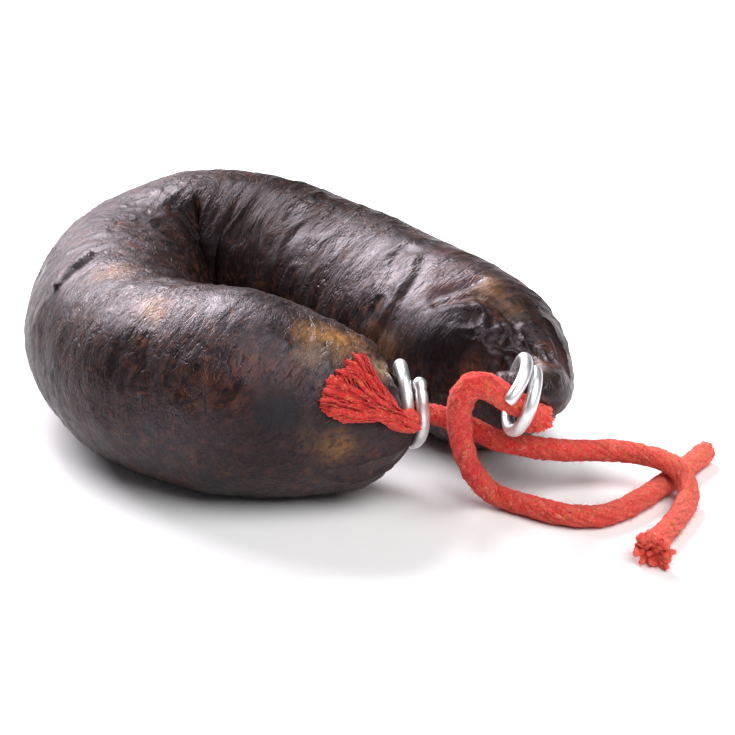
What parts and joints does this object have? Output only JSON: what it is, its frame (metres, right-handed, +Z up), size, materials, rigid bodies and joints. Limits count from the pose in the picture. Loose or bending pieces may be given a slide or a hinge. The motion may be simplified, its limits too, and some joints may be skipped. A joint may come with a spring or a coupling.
{
  "type": "blood sausage",
  "caption": "Ring-shaped blood sausage in a dark natural casing, clipped shut at both ends with wire and tied with red cotton strings.",
  "frame": {"origin": "on the table under the middle of the sausage and its clips, strings left out", "axes": "+Z up from the table, +Y away from the side where both clipped ends are, +X to the right seen from that side"},
  "size_m": [0.1322, 0.1191, 0.0376],
  "materials": {
    "casing": "moist satin skin, dark brown with reddish patches",
    "clip": "satin drawn wire",
    "string": "matte twisted cotton"
  },
  "bodies": {
    "root": {"sausage": "casing", "near_clip": "clip", "far_clip": "clip", "near_string": "string", "near_fray": "string", "far_string": "string"}
  },
  "joints": []
}
